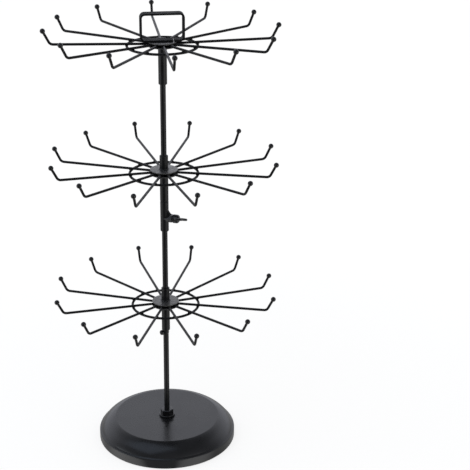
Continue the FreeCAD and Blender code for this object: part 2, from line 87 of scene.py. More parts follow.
def rounded(corners, radii, steps=corner_steps):
    """An outline, run clockwise, whose inner corners are arcs that touch both of their sides. A point of
    an arc is its centre plus the spokes to its two ends, each weighted by the sine of the angle to the
    other. A row is x, y and edge: 1 amid a proud corner, -1 amid a hollow one and 0 on the straights."""
    point = np.array(corners, float)
    radius = np.array(radii, float)[:, None]
    middle = point[1:-1]
    back = (point[:-2] - middle) / np.linalg.norm(point[:-2] - middle, axis=1, keepdims=True)
    on = (point[2:] - middle) / np.linalg.norm(point[2:] - middle, axis=1, keepdims=True)
    half = np.arccos(np.sum(back * on, axis=1, keepdims=True)) / 2
    halfway = (back + on) / np.linalg.norm(back + on, axis=1, keepdims=True)
    centre = middle + halfway * radius / np.sin(half)
    first = (middle + back * radius / np.tan(half) - centre)[:, None]
    last = (middle + on * radius / np.tan(half) - centre)[:, None]
    turn = (np.pi - 2 * half)[:, None]
    gone = np.linspace(0, 1, steps)[None, :, None]
    spokes = first * np.sin((1 - gone) * turn) + last * np.sin(gone * turn)
    arcs = centre[:, None] + spokes / np.sin(turn)
    proud = np.sign(back[:, 0] * on[:, 1] - back[:, 1] * on[:, 0])[:, None, None]
    edge = proud * np.sin(np.pi * gone)
    rows = np.concatenate([arcs, edge], -1).reshape(-1, 3)
    ends = np.column_stack([point[[0, -1]], np.zeros(2)])
    return np.vstack([ends[:1], rows, ends[1:]])


def bow(start, radius, slopes):
    """An arc of a profile from a start point: out by the radius times what the slope's sine gains, and
    down by the radius times what its cosine loses."""
    out = start[0] + radius * (np.sin(slopes) - np.sin(slopes[0]))
    height = start[1] - radius * (np.cos(slopes[0]) - np.cos(slopes))
    return np.column_stack([out, height, 0 * slopes])


def turned(profile, sides, axes=np.eye(3), origin=(0, 0, 0)):
    """A turned surface: for each angle a round the third of three axes, the profile's point r, z lies
    at r cos a, r sin a and z on those axes."""
    angle = np.arange(sides) * 2 * np.pi / sides
    radius, height, edge = profile.T[:, :, None]
    local = np.stack([radius * np.cos(angle), radius * np.sin(angle), height + 0 * angle], -1)
    return np.concatenate([local @ np.array(axes) + origin, (edge + 0 * angle)[:, :, None]], -1)


def solid(name, *grids):
    """One mesh over grids of points, each x, y, z and edge. Four neighbours make a face, the columns of
    a grid go round and meet, and points that fall together are merged, which closes poles and seams."""
    points = np.concatenate([grid.reshape(-1, 4) for grid in grids])
    faces = []
    start = 0
    for grid in grids:
        rows, columns = grid.shape[:2]
        index = start + np.arange(rows * columns).reshape(rows, columns)
        beside = np.roll(index, -1, axis=1)
        faces.append(np.stack([index[:-1], beside[:-1], beside[1:], index[1:]], -1).reshape(-1, 4))
        start += rows * columns
    mesh = bpy.data.meshes.new(name)
    mesh.from_pydata(points[:, :3].tolist(), [], np.concatenate(faces).tolist())
    edges = mesh.attributes.new("edge", "FLOAT", "POINT")
    edges.data.foreach_set("value", points[:, 3].astype(np.float32))
    shape = bmesh.new()
    shape.from_mesh(mesh)
    bmesh.ops.remove_doubles(shape, verts=shape.verts, dist=merge_distance)
    bmesh.ops.dissolve_degenerate(shape, edges=shape.edges, dist=merge_distance)
    bmesh.ops.recalc_face_normals(shape, faces=shape.faces)
    shape.to_mesh(mesh)
    shape.free()
    mesh.shade_smooth()
    mesh.set_sharp_from_angle(angle=crease_angle)
    made = bpy.data.objects.new(name, mesh)
    bpy.context.scene.collection.objects.link(made)
    made.modifiers.new("flat_faces_stay_flat", "WEIGHTED_NORMAL").keep_sharp = True
    return made


def fit(piece, material, body, slot, *nodes):
    """Gives a piece its finish and the body that carries it, and hides the nodes that it stands for. The
    slot is not used.
    """
    piece.data.materials.append(material)
    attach(piece, body)
    if nodes:
        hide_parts(*nodes)


def add_node(tree, kind, inputs, **options):
    """One shader node. An input is a number, a colour or the output of another node."""
    made = tree.nodes.new(kind)
    for name, option in options.items():
        setattr(made, name, option)
    for name, given in inputs.items():
        if isinstance(given, bpy.types.NodeSocket):
            tree.links.new(given, made.inputs[name])
        else:
            made.inputs[name].default_value = given
    return made


def sum_up(tree, operation, first, second):
    """A sum of two values by one of the Math node's operations, kept between 0 and 1."""
    inputs = {0: first, 1: second}
    return add_node(tree, "ShaderNodeMath", inputs, operation=operation, use_clamp=True).outputs[0]


def new_material(name):
    """A material with its tree, its surface shader and the object's own coordinates in metres."""
    made = bpy.data.materials.new(name)
    made.use_nodes = True
    tree = made.node_tree
    place = add_node(tree, "ShaderNodeTexCoord", {}).outputs["Object"]
    return made, tree, tree.nodes["Principled BSDF"], place


def noise(tree, place, feature, detail=noise_detail):
    """Cloudy noise whose patches are about one feature length across."""
    inputs = {"Vector": place, "Scale": 1 / feature, "Detail": detail}
    return add_node(tree, "ShaderNodeTexNoise", inputs).outputs["Fac"]


def spread(tree, value, low, high, first=noise_low, last=noise_high):
    """A value between first and last brought smoothly to the span from low to high. The value is a
    noise where first and last are left out."""
    inputs = {"Value": value, "From Min": first, "From Max": last, "To Min": low, "To Max": high}
    return add_node(tree, "ShaderNodeMapRange", inputs, interpolation_type="SMOOTHSTEP").outputs[0]


def shades(tree, factor, dark, light):
    """A colour from dark to light by a factor from 0 to 1."""
    ramp = add_node(tree, "ShaderNodeValToRGB", {"Fac": factor})
    ramp.color_ramp.elements[0].color = dark
    ramp.color_ramp.elements[1].color = light
    return ramp.outputs["Color"]


def relief(tree, height, depth):
    """A fine relief of the surface, as high as depth, from a height between 0 and 1."""
    inputs = {"Height": height, "Distance": depth, "Strength": 1}
    return add_node(tree, "ShaderNodeBump", inputs).outputs["Normal"]


def base_paint():
    """Sprayed paint: slow drifts of tone and gloss, a soft orange peel, and thinner paint on edges."""
    made, tree, shader, place = new_material("base_paint")
    drift = noise(tree, place, paint_drift, paint_drift_detail)
    peel = noise(tree, place, paint_peel)
    edge = add_node(tree, "ShaderNodeAttribute", {}, attribute_name="edge").outputs["Fac"]
    cloudy = spread(tree, drift, 0, paint_drift_share)
    thin = spread(tree, edge, 0, paint_edge_share, 0, 1)
    tone = sum_up(tree, "ADD", cloudy, thin)
    tree.links.new(shades(tree, tone, paint_dark, paint_light), shader.inputs["Base Color"])
    tree.links.new(spread(tree, drift, paint_smoothest, paint_roughest), shader.inputs["Roughness"])
    tree.links.new(relief(tree, peel, paint_peel_depth), shader.inputs["Normal"])
    return made


def dish_section():
    """The dish's wall, right round: out along the flat top, over its round edge, down the bow of the
    shoulder, over the ledge and the rim, and back up inside along a bow about the same centre."""
    ledge_radius = dish_radius - dish_ledge
    run = ledge_radius - dish_flat_radius
    drop = dish_high.z - dish_rim_top
    chord = np.arctan2(drop, run)
    bend = np.hypot(run, drop) / 2 / np.sin(chord - dish_shoulder_start)
    edge_start = dish_flat_radius - dish_flat_round * np.tan(dish_shoulder_start / 2)
    edge_slopes = np.linspace(0, dish_shoulder_start, dish_edge_steps)
    flat_edge = bow((edge_start, dish_high.z), dish_flat_round, edge_slopes)
    slopes = np.linspace(dish_shoulder_start, 2 * chord - dish_shoulder_start, dish_shoulder_steps)
    shoulder = bow((dish_flat_radius, dish_high.z), bend, slopes)[1:-1]
    centre_out = dish_flat_radius - bend * np.sin(dish_shoulder_start)
    centre_height = dish_high.z - bend * np.cos(dish_shoulder_start)
    inner_bend = bend - dish_sheet
    inner_radius = dish_radius - dish_hem
    under_top = dish_high.z - dish_sheet
    inner_slopes = np.linspace(np.arcsin((inner_radius - centre_out) / inner_bend),
                               np.arccos((under_top - centre_height) / inner_bend),
                               dish_inside_steps)
    inner_start = (inner_radius, centre_height + inner_bend * np.cos(inner_slopes[0]))
    inside = bow(inner_start, inner_bend, inner_slopes)
    rim_corner = dish_rim_top - dish_ledge * np.tan(dish_ledge_slope)
    rim = rounded([shoulder[-1, :2], (ledge_radius, dish_rim_top), (dish_radius, rim_corner),
                   (dish_radius, dish_low.z), (inner_radius, dish_low.z), inside[0, :2]],
                  [dish_groove_round, dish_rim_round, dish_hem_round, 0])
    hole = np.array([[dish_hole_radius, under_top, 0], [dish_hole_radius, dish_high.z, 0]])
    return np.vstack([hole[1:], flat_edge, shoulder, rim[1:], inside[1:], hole])


dish = solid("dish", turned(dish_section(), dish_sides))
fit(dish, base_paint(), "stand", "base_coat", "base_shell")

# Floor pad: a disc of black sponge rubber, die-cut from sheet and glued across the open underside of the
# dish, so that the hem does not scratch and the weight inside stays hidden.
pad_low, pad_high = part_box("base_pad")
pad_edge_round = 0.25 * mm
pad_sides = 160
pad_pore = 0.9 * mm
pad_pore_depth = 0.08 * mm
pad_pore_share = 0.6
pad_dust = 12 * mm
pad_dust_detail = 5
rubber_dark = (0.012, 0.012, 0.012, 1)
rubber_light = (0.030, 0.030, 0.029, 1)
rubber_smoothest = 0.7
rubber_roughest = 0.9


def sponge_rubber():
    """Closed-cell rubber: small pores in a matt, slightly dusty skin."""
    made, tree, shader, place = new_material("sponge_rubber")
    cells = add_node(tree, "ShaderNodeTexVoronoi", {"Vector": place, "Scale": 1 / pad_pore})
    pores = cells.outputs["Distance"]
    dust = spread(tree, noise(tree, place, pad_dust, pad_dust_detail), 0, 1)
    tree.links.new(shades(tree, dust, rubber_dark, rubber_light), shader.inputs["Base Color"])
    rough = spread(tree, pores, rubber_roughest, rubber_smoothest, 0, pad_pore_share)
    tree.links.new(rough, shader.inputs["Roughness"])
    tree.links.new(relief(tree, pores, pad_pore_depth), shader.inputs["Normal"])
    return made


pad_section = rounded([(0, pad_high.z), (pad_high.x, pad_high.z), (pad_high.x, pad_low.z),
                       (0, pad_low.z)], [pad_edge_round] * 2)
floor_pad = solid("floor_pad", turned(pad_section, pad_sides))
fit(floor_pad, sponge_rubber(), "stand", "pad", "base_pad")

# Weight and its fixing: a cast iron disc that keeps the wide tiers from tipping the stand, with a
# zinc-plated washer and nut that draw the upright down through it. All lie closed in under the dish.
metal_patch = 8 * mm
metal_patch_detail = 5
metal_grain_detail = 4
iron_dark = (0.028, 0.027, 0.026, 1)
iron_light = (0.075, 0.072, 0.068, 1)
iron_grain = 1.5 * mm
iron_grain_depth = 0.12 * mm
iron_roughness = (0.55, 0.75)
zinc_dark = (0.42, 0.43, 0.45, 1)
zinc_light = (0.60, 0.61, 0.62, 1)
zinc_grain = 0.6 * mm
zinc_grain_depth = 0.01 * mm
zinc_roughness = (0.28, 0.42)


def bare_metal(name, dark, light, grain, depth, roughness):
    """Bare metal: patches of tone and gloss over a grain of the given size and depth."""
    made, tree, shader, place = new_material(name)
    patches = noise(tree, place, metal_patch, metal_patch_detail)
    bumps = noise(tree, place, grain, metal_grain_detail)
    tone = spread(tree, patches, 0, 1)
    tree.links.new(shades(tree, tone, dark, light), shader.inputs["Base Color"])
    tree.links.new(spread(tree, patches, *roughness), shader.inputs["Roughness"])
    tree.links.new(relief(tree, bumps, depth), shader.inputs["Normal"])
    shader.inputs["Metallic"].default_value = 1
    return made


cast_iron = bare_metal("cast_iron", iron_dark, iron_light, iron_grain, iron_grain_depth,
                       iron_roughness)
zinc_plate = bare_metal("zinc_plate", zinc_dark, zinc_light, zinc_grain, zinc_grain_depth,
                        zinc_roughness)
hidden_metals = {"ballast_plate": cast_iron, "under_washer": zinc_plate, "under_nut": zinc_plate}
for node, metal in hidden_metals.items():
    frame["nodes"][node].data.materials.clear()
    frame["nodes"][node].data.materials.append(metal)

# Foot nut: a hexagon nut with a round flange, run down the thread of the upright until it bears on the
# dish. It is steel, and its black powder coat is smoother and glossier than that of the wire work.
nut_low, nut_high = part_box("base_nut")
foot_flats = 12.8 * mm
foot_turn = np.radians(-11)
foot_flange_radius = nut_high.x
foot_flange_thickness = 2.2 * mm
foot_flange_top = nut_low.z + foot_flange_thickness
foot_flange_round = 0.7 * mm
foot_flange_sides = 72
foot_bore_radius = 3.05 * mm
nut_corner_round = 0.35 * mm
outline_steps = 4
hexagon_sides = 6
crown_slope = np.tan(np.radians(30))
crown_start_share = 1.05
crown_steps = 9
crown_edge = 0.5
coat_dark = (0.0040, 0.0041, 0.0046, 1)
coat_light = (0.0150, 0.0152, 0.0164, 1)
coat_pebble = 0.7 * mm
coat_pebble_depth = 0.005 * mm
coat_cloud = 14 * mm
coat_cloud_detail = 5
coat_cloud_share = 0.35
coat_chafe = 3 * mm
coat_chafe_detail = 4
coat_chafe_share = 0.2
no_tint = (1, 1, 1, 1)
smooth_roughness = (0.16, 0.24)
smooth_gloss = 0.5


def powder_coat(name, roughness, gloss, dark=coat_dark, light=coat_light, pebble=coat_pebble,
                depth=coat_pebble_depth, tint=no_tint):
    """Stoved powder coat: a pebbled skin, cloudy gloss, and a paler, thinner film on proud edges."""
    made, tree, shader, place = new_material(name)
    cloud = noise(tree, place, coat_cloud, coat_cloud_detail)
    edge = add_node(tree, "ShaderNodeAttribute", {}, attribute_name="edge").outputs["Fac"]
    chafed = spread(tree, noise(tree, place, coat_chafe, coat_chafe_detail), coat_chafe_share, 1)
    thin = sum_up(tree, "MULTIPLY", edge, chafed)
    tone = sum_up(tree, "ADD", spread(tree, cloud, 0, coat_cloud_share), thin)
    tree.links.new(shades(tree, tone, dark, light), shader.inputs["Base Color"])
    tree.links.new(spread(tree, cloud, *roughness), shader.inputs["Roughness"])
    tree.links.new(relief(tree, noise(tree, place, pebble), depth), shader.inputs["Normal"])
    shader.inputs["Specular IOR Level"].default_value = gloss
    shader.inputs["Specular Tint"].default_value = tint
    return made


def closed(corners, radius):
    """A closed outline, run clockwise, with all its corners rounded alike."""
    corners = np.array(corners)
    around = np.vstack([corners[-1:], corners, corners[:1]])
    return rounded(around, [radius] * len(corners), outline_steps)[1:-1]


def hexagon(flats):
    """The six corners of a hexagon of a given width across its flats, run clockwise."""
    half_side = np.pi / hexagon_sides
    angle = -2 * half_side * np.arange(hexagon_sides)
    return np.stack([np.cos(angle), np.sin(angle)], -1) * flats / 2 / np.cos(half_side)


def nut_sides(flats, height, first):
    """The outside of a nut: at the height z a point stands on the hexagon, or on the crown's cone where
    that lies nearer the axis. Rows are x, y, z and edge, from the level first up to the crowned end."""
    outline = closed(hexagon(flats), nut_corner_round)
    reach = np.linalg.norm(outline[:, :2], axis=1)
    crown = (reach.max() - flats / 2) * crown_slope
    below_end = crown * np.linspace(crown_start_share, 0, crown_steps)
    level = np.append(first, height - below_end)[:, None]
    cone = flats / 2 + (height - level) / crown_slope
    share = np.minimum(cone / reach, 1)[:, :, None]
    crowned = np.where(cone < reach, crown_edge, outline[:, 2])[:, :, None]
    return np.concatenate([share * outline[:, :2], (level + 0 * reach)[:, :, None], crowned], -1)


def bored(sides, bore_radius):
    """A nut's sides closed to a solid: a row at the bore in the same directions at each end, and then
    the first row again."""
    flat = sides[:1, :, :2]
    out = flat / np.linalg.norm(flat, axis=2, keepdims=True) * bore_radius
    rims = [np.concatenate([out, row[None, :, 2:3], 0 * out[:, :, :1]], -1) for row in sides[[-1, 0]]]
    return np.concatenate([sides, *rims, sides[:1]])


def spun(grid, angle):
    """A grid turned round the upright by an angle."""
    turn = np.eye(4)
    turn[:2, :2] = [[np.cos(angle), np.sin(angle)], [-np.sin(angle), np.cos(angle)]]
    return grid @ turn


smooth_coat = powder_coat("smooth_coat", smooth_roughness, smooth_gloss)
flange_section = rounded([(foot_bore_radius, foot_flange_top), (foot_flange_radius, foot_flange_top),
                          (foot_flange_radius, nut_low.z), (foot_bore_radius, nut_low.z),
                          (foot_bore_radius, foot_flange_top)],
                         [foot_flange_round, foot_flange_round / 2, 0])
foot_hexagon = spun(bored(nut_sides(foot_flats, nut_high.z, nut_low.z), foot_bore_radius), foot_turn)
foot_nut = solid("foot_nut", foot_hexagon, turned(flange_section, foot_flange_sides))
fit(foot_nut, smooth_coat, "stand", "black_coat", "base_nut")

# Upright: one drawn steel rod from inside the dish to the top tier, chamfered at both ends and powder
# coated. The foot nut and the nut inside the dish grip its lower end.
post_low, post_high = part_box("post")
post_radius = 3 * mm
post_chamfer = 0.8 * mm
post_end_round = 0.3 * mm
post_sides = 48
post_neck = post_radius - post_chamfer
coat_roughness = (0.28, 0.38)
coat_gloss = 0.38
upright_section = rounded([(0, post_high.z), (post_neck, post_high.z),
                           (post_radius, post_high.z - post_chamfer),
                           (post_radius, post_low.z + post_chamfer),
                           (post_neck, post_low.z), (0, post_low.z)], [post_end_round] * 4)
coat = powder_coat("powder_coat", coat_roughness, coat_gloss)
upright = solid("upright", turned(upright_section, post_sides))
fit(upright, coat, "stand", "black_coat", "post")

# Stop stud: a round-headed steel screw driven through the upright on its left, with the same smooth
# coat as the foot nut. Its head stands out under the bottom tier's tube and carries that tier.
stud_low, stud_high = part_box("stop_screw")
stud_height = (stud_low.z + stud_high.z) / 2
stud_head_radius = (stud_high.z - stud_low.z) / 2
stud_head_start = 3.05 * mm
stud_head_end = 7.05 * mm
stud_shank_radius = 1.5 * mm
stud_dome_round = 2.1 * mm
stud_lip_round = 0.4 * mm
stud_sides = 40


def heading(node):
    """The angle round the upright at which a CAD node lies: that of the mean of its points."""
    mesh = frame["nodes"][node].data
    points = np.empty(len(mesh.vertices) * 3, np.float32)
    mesh.vertices.foreach_get("co", points)
    centre = points.reshape(-1, 3).mean(0)
    return np.arctan2(centre[1], centre[0])


def facing(angle):
    """Axes for a piece that lies flat and points outwards at an angle: across, up and outwards."""
    return np.array([[-np.sin(angle), np.cos(angle), 0], [0, 0, 1], [np.cos(angle), np.sin(angle), 0]])


stud_section = rounded([(0, stud_head_end), (stud_head_radius, stud_head_end),
                        (stud_head_radius, stud_head_start), (stud_shank_radius, stud_head_start),
                        (stud_shank_radius, -post_radius), (0, -post_radius)],
                       [stud_dome_round, stud_lip_round, 0, 0])
stud_axes = facing(heading("stop_screw"))
stop_stud = solid("stop_stud", turned(stud_section, stud_sides, stud_axes, (0, 0, stud_height)))
fit(stop_stud, smooth_coat, "stand", "black_coat", "stop_screw")

# Tiers: three alike, each a tube that turns on the upright, two round plates with twelve wire spokes
# welded between them, and a wire hoop welded under the spokes. A ball is dipped on each upturned end.
wire_radius = 1.35 * mm
wire_sides = 24
tube_radius = 4.5 * mm
tube_bore_radius = 3.08 * mm
tube_end_round = 0.6 * mm
hub_sides = 96
weld_size = 1.2 * mm
weld_toe = 0.06 * mm
weld_ripples = 13
weld_ripple_share = 0.05
plate_radius = 14.7 * mm
plate_bore_radius = 4.55 * mm
plate_thickness = 1.2 * mm
plate_edge_round = 0.45 * mm
spoke_start = 6.2 * mm
spoke_rise = np.radians(1.3)
spoke_hook = np.radians(63)
elbow_radius = 5 * mm
elbow_steps = 16
tip_radius = 119.7 * mm
ball_radius = 2.7 * mm
ball_sides = 32
ball_steps = 20
neck_round = 1.2 * mm
neck_steps = 7
hoop_sides = 160
spot_size = np.array([1.9, 1.9, 0.55]) * mm
bead_steps = 9
bead_sides = 14
wire_roughness = (0.34, 0.44)
wire_gloss = 0.22
plate_roughness = (0.28, 0.42)
plate_gloss = 1
# Painted sheen: the plates' coat is painted lighter than the black coat elsewhere, for their shine.
plate_sheen_dark = (0.030, 0.030, 0.032, 1)
plate_sheen_light = (0.060, 0.060, 0.062, 1)
plate_tint = (1, 0.98, 0.89, 1)
plate_grain = 2.2 * mm
plate_grain_depth = 0.45 * mm
wire_coat = powder_coat("wire_coat", wire_roughness, wire_gloss)
# The plates' pebbled coat, painted lighter as a painted sheen.
sandy_sheen_coat = powder_coat("sandy_sheen_coat", plate_roughness, plate_gloss, plate_sheen_dark, plate_sheen_light,
                         plate_grain, plate_grain_depth, plate_tint)


def round_section(radius, sides):
    """A round section for a wire: radius times cos a and sin a."""
    angle = np.arange(sides) * 2 * np.pi / sides
    return np.stack([radius * np.cos(angle), radius * np.sin(angle), 0 * angle], -1)


def swept(path, section):
    """A bar along a path in the upright x-z plane: the path's point, plus the section's first measure
    square to the path in that plane, plus its second along y. Each end closes on the path's own end."""
    step = np.diff(path, axis=0)
    step /= np.linalg.norm(step, axis=1, keepdims=True)
    along = np.vstack([step[:1], step[:-1] + step[1:], step[-1:]])
    along /= np.linalg.norm(along, axis=1, keepdims=True)
    across = np.stack([-along[:, 1], along[:, 0]], -1)
    ring = path[:, None] + across[:, None] * section[None, :, :1]
    beside, edge = [section[:, column] + 0 * ring[:, :, 0] for column in (1, 2)]
    shape = np.stack([ring[:, :, 0], beside, ring[:, :, 1], edge], -1)
    caps = [np.broadcast_to([x, 0, z, 0], (1, len(section), 4)) for x, z in path[[0, -1]]]
    return np.concatenate([caps[0], shape, caps[1]])


def tube_section(low, high, plates_low, plates_high):
    """A hub tube's wall with a weld fillet under the lower plate, and one on the upper plate where the
    tube goes past it."""
    reach = tube_radius + weld_size + weld_toe
    corners = [(tube_bore_radius, high), (tube_radius, high)]
    radii = [tube_end_round]
    if high - plates_high > weld_size:
        corners += [(tube_radius, plates_high + weld_toe), (reach, plates_high + weld_toe),
                    (reach, plates_high - weld_toe), (tube_radius, plates_high - weld_toe)]
        radii += [weld_size, 0, 0, 0]
    corners += [(tube_radius, plates_low + weld_toe), (reach, plates_low + weld_toe),
                (reach, plates_low - weld_toe), (tube_radius, plates_low - weld_toe),
                (tube_radius, low), (tube_bore_radius, low), (tube_bore_radius, high)]
    return rounded(corners, radii + [0, 0, 0, weld_size, tube_end_round, 0])


def rippled(grid):
    """A turned grid whose hollow fillets swell and shrink a little round the axis, as a weld bead does:
    the radius grows by a share of itself times the cosine of the ripples times the angle."""
    hollow = np.clip(-grid[:, :, 3:], 0, 1)
    angle = np.arctan2(grid[:, :, 1:2], grid[:, :, 0:1])
    swell = 1 + weld_ripple_share * hollow * np.cos(weld_ripples * angle)
    return np.concatenate([grid[:, :, :2] * swell, grid[:, :, 2:]], -1)


def plate_section(top):
    """A round plate's section under a level, with rounded rims."""
    bottom = top - plate_thickness
    return rounded([(plate_bore_radius, top), (plate_radius, top), (plate_radius, bottom),
                    (plate_bore_radius, bottom), (plate_bore_radius, top)],
                   [plate_edge_round, plate_edge_round, 0])


def spoke_path(level, tip_height):
    """A spoke's line: out from the hub at a slight rise, round the elbow, up the hook to the ball."""
    rise = np.tan(spoke_rise)
    hook = np.tan(spoke_hook)
    elbow = (tip_height - level + spoke_start * rise - tip_radius * hook) / (rise - hook)
    corner = (elbow, level + (elbow - spoke_start) * rise)
    corners = [(spoke_start, level), corner, (tip_radius, tip_height)]
    return rounded(corners, [elbow_radius], elbow_steps)[:, :2]


def ball_section():
    """A ball with a neck: the sphere's arc down to where the neck's hollow arc runs on to the wire."""
    neck_centre = wire_radius + neck_round
    neck_depth = np.sqrt((ball_radius + neck_round) ** 2 - neck_centre ** 2)
    swing = np.arctan2(neck_depth, neck_centre)
    polar = np.linspace(0, np.pi / 2 + swing, ball_steps)
    back = np.linspace(swing, 0, neck_steps)[1:]
    ball = np.column_stack([ball_radius * np.sin(polar), ball_radius * np.cos(polar)])
    neck = np.column_stack([neck_centre - neck_round * np.cos(back),
                            neck_round * np.sin(back) - neck_depth])
    profile = np.vstack([ball, neck, [[0, -neck_depth]]])
    return np.column_stack([profile, np.zeros(len(profile))])


def bead(size, place):
    """A flat drop of weld: a sphere stretched to three half-widths about a place."""
    polar = np.linspace(0, np.pi, bead_steps)
    ball = turned(np.column_stack([np.sin(polar), np.cos(polar), 0 * polar]), bead_sides)
    return ball * np.append(size, 1) + np.append(place, 0)


def tier(name):
    """One tier, at the places of its CAD nodes."""
    body = name + "_tier"
    tube_low, tube_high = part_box(name + "_sleeve")
    plates_low, plates_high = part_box(name + "_discs")
    hoop_low, hoop_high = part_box(name + "_ring")
    spokes = [node for node in sorted(frame["nodes"]) if node.startswith(name + "_arm_")]
    headings = [heading(node) for node in spokes]
    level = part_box(spokes[0])[0].z + wire_radius * np.cos(spoke_rise)
    tip_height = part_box(name + "_tips")[1].z - ball_radius

    tube = turned(tube_section(tube_low.z, tube_high.z, plates_low.z, plates_high.z), hub_sides)
    fit(solid(name + "_hub_tube", rippled(tube)), coat, body, "black_coat", name + "_sleeve")
    tops = (plates_high.z, plates_low.z + plate_thickness)
    plates = [turned(plate_section(top), hub_sides) for top in tops]
    fit(solid(name + "_hub_plates", *plates), sandy_sheen_coat, body, "black_coat", name + "_discs")

    wire = swept(spoke_path(level, tip_height), round_section(wire_radius, wire_sides))
    for node, angle in zip(spokes, headings):
        spoke = solid(node.replace("arm", "spoke"), spun(wire, angle))
        fit(spoke, wire_coat, body, "black_coat", node)
    hook_out, hook_up = np.cos(spoke_hook), np.sin(spoke_hook)
    hook_axes = [[-hook_up, 0, hook_out], [0, -1, 0], [hook_out, 0, hook_up]]
    ball = turned(ball_section(), ball_sides, hook_axes, (tip_radius, 0, tip_height))
    knobs = solid(name + "_knobs", *[spun(ball, angle) for angle in headings])
    fit(knobs, smooth_coat, body, "black_coat", name + "_tips")

    hoop_radius = hoop_high.x - wire_radius
    hoop_level = (hoop_low.z + hoop_high.z) / 2
    hoop_section = round_section(wire_radius, wire_sides) + [hoop_radius, hoop_level, 0]
    hoop = solid(name + "_hoop", turned(np.vstack([hoop_section, hoop_section[:1]]), hoop_sides))
    fit(hoop, wire_coat, body, "black_coat", name + "_ring")
    spot = bead(spot_size, (hoop_radius, 0, hoop_high.z))
    spots = solid(name + "_spot_welds", *[spun(spot, angle) for angle in headings])
    fit(spots, wire_coat, body, "black_coat")


for name in ("bottom", "middle", "top"):
    tier(name)

# Clamp: a short steel tube that slides on the upright and carries the middle tier, with a hexagon nut
# welded to its side. The weld runs up the tube above the nut and is matt under its black coat. The
# nut's coat is painted paler, a painted sheen for the light its faces catch, and is paler still on its
# edges, where handling rubs it.
clamp_low, clamp_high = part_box("clamp_collar")
screw = next(joint for joint in frame["joints"] if joint["name"] == "wing_screw_turn")
screw_turn = np.arctan2(screw["axis"][1], screw["axis"][0])
screw_level = screw["pos_m"][2]
block_flats = 8 * mm
block_face = 9.1 * mm
block_bore_radius = 2.55 * mm
block_sink = 0.3 * mm
block_root_steps = 12
flare_height = 5.8 * mm
flare_length = 4.2 * mm
flare_width_share = 0.97
handled_roughness = (0.28, 0.38)
handled_gloss = 0.7
# Painted sheen: the nut's coat is painted paler than the black coat elsewhere, for light on its faces.
sheen_and_wear_dark = (0.008, 0.008, 0.009, 1)
sheen_and_wear_light = (0.120, 0.120, 0.124, 1)
matt_roughness = (0.58, 0.70)
matt_gloss = 0.15
matt_coat = powder_coat("matt_coat", matt_roughness, matt_gloss)
# The nut's coat: a painted sheen all over, and paler edges where handling wears it.
sheen_and_wear_coat = powder_coat("sheen_and_wear_coat", handled_roughness, handled_gloss, sheen_and_wear_dark,
                           sheen_and_wear_light)
clamp_section = rounded([(tube_bore_radius, clamp_high.z), (tube_radius, clamp_high.z),
                         (tube_radius, clamp_low.z), (tube_bore_radius, clamp_low.z),
                         (tube_bore_radius, clamp_high.z)], [tube_end_round, tube_end_round, 0])
clamp_tube = solid("clamp_tube", turned(clamp_section, hub_sides))
fit(clamp_tube, coat, "clamp", "black_coat", "clamp_collar")


def welded_nut():
    """A nut on the tube's side, its axis along z and up along y, and its weld. The nut's inner end
    follows the round of the tube. The weld is a slightly narrower copy of that end, lifted by the
    flare's height times the square of the share of its length that is left and the square of the
    share by which the point lies upwards."""
    sides = nut_sides(block_flats, block_face, 0)
    across, up = sides[:1, :, 0], sides[:1, :, 1]
    inner = np.sqrt(np.maximum(tube_radius ** 2 - across ** 2, 0)) - block_sink
    share = np.linspace(0, 1, block_root_steps)[:, None]
    level = inner + share * (sides[1, :, 2] - inner)
    left = np.clip(1 - (level - inner - block_sink) / flare_length, 0, 1)
    upwards = np.clip(up / np.linalg.norm(sides[:1, :, :2], axis=2), 0, 1)
    lift = flare_height * left ** 2 * upwards ** 2
    root = np.stack([across + 0 * level, up + 0 * level, level, 0 * level], -1)
    flare = np.stack([flare_width_share * root[:, :, 0], flare_width_share * root[:, :, 1] + lift,
                      level, 0 * level], -1)
    nut = np.concatenate([root, sides[2:]])
    return bored(nut, block_bore_radius), bored(flare, block_bore_radius)


def laid(grid, angle, level):
    """A grid whose third axis points out from the upright at an angle and whose second one points up."""
    return np.concatenate([grid[:, :, :3] @ facing(angle) + [0, 0, level], grid[:, :, 3:]], -1)


block, flare = [laid(grid, screw_turn, screw_level) for grid in welded_nut()]
fit(solid("clamp_block", block), sheen_and_wear_coat, "clamp", "black_coat", "clamp_nut")
fit(solid("clamp_weld", flare), matt_coat, "clamp", "black_coat")

# Thumb screw: a die-cast head with a domed hub and two flat ears, on a threaded steel shank that passes
# through the clamp's nut and bears on the upright. All of it has the smooth coat of the foot nut.
shank_tip = 3.1 * mm
shank_radius = 2.5 * mm
shank_sides = 48
thread_pitch = 0.8 * mm
thread_depth = 0.35 * mm
thread_rings = 90
hub_start = 9.9 * mm
hub_end = 16.9 * mm
hub_radius = 4.7 * mm
hub_dome_round = 3 * mm
hub_lip_round = 0.5 * mm
head_sides = 56
ear_root = 1.6 * mm
ear_reach = 12 * mm
ear_root_start = 10.7 * mm
ear_tip_start = 14.4 * mm
ear_tip_end = 27.4 * mm
ear_corner_round = 3.2 * mm
ear_corner_steps = 10
ear_half_thickness = 1.2 * mm
ear_root_swell_share = 0.35
ear_rim_steps = 13
ear_rim_share = 0.15
ear_rim_power = 4
ear_tilt = np.radians(-21)


def thread():
    """A screw thread: at the length z and angle a the radius falls by the depth times a triangle wave of
    z over the pitch less a over a full turn. The ends close on the axis."""
    angle = np.arange(shank_sides) * 2 * np.pi / shank_sides
    level = np.linspace(shank_tip, hub_start + hub_lip_round, thread_rings)[:, None]
    phase = (level / thread_pitch - angle / (2 * np.pi)) % 1
    radius = shank_radius - thread_depth * np.abs(2 * phase - 1)
    walls = np.stack([radius * np.cos(angle), radius * np.sin(angle), level + 0 * angle, 0 * radius], -1)
    return np.concatenate([walls[:1] * [0, 0, 1, 1], walls, walls[-1:] * [0, 0, 1, 1]])


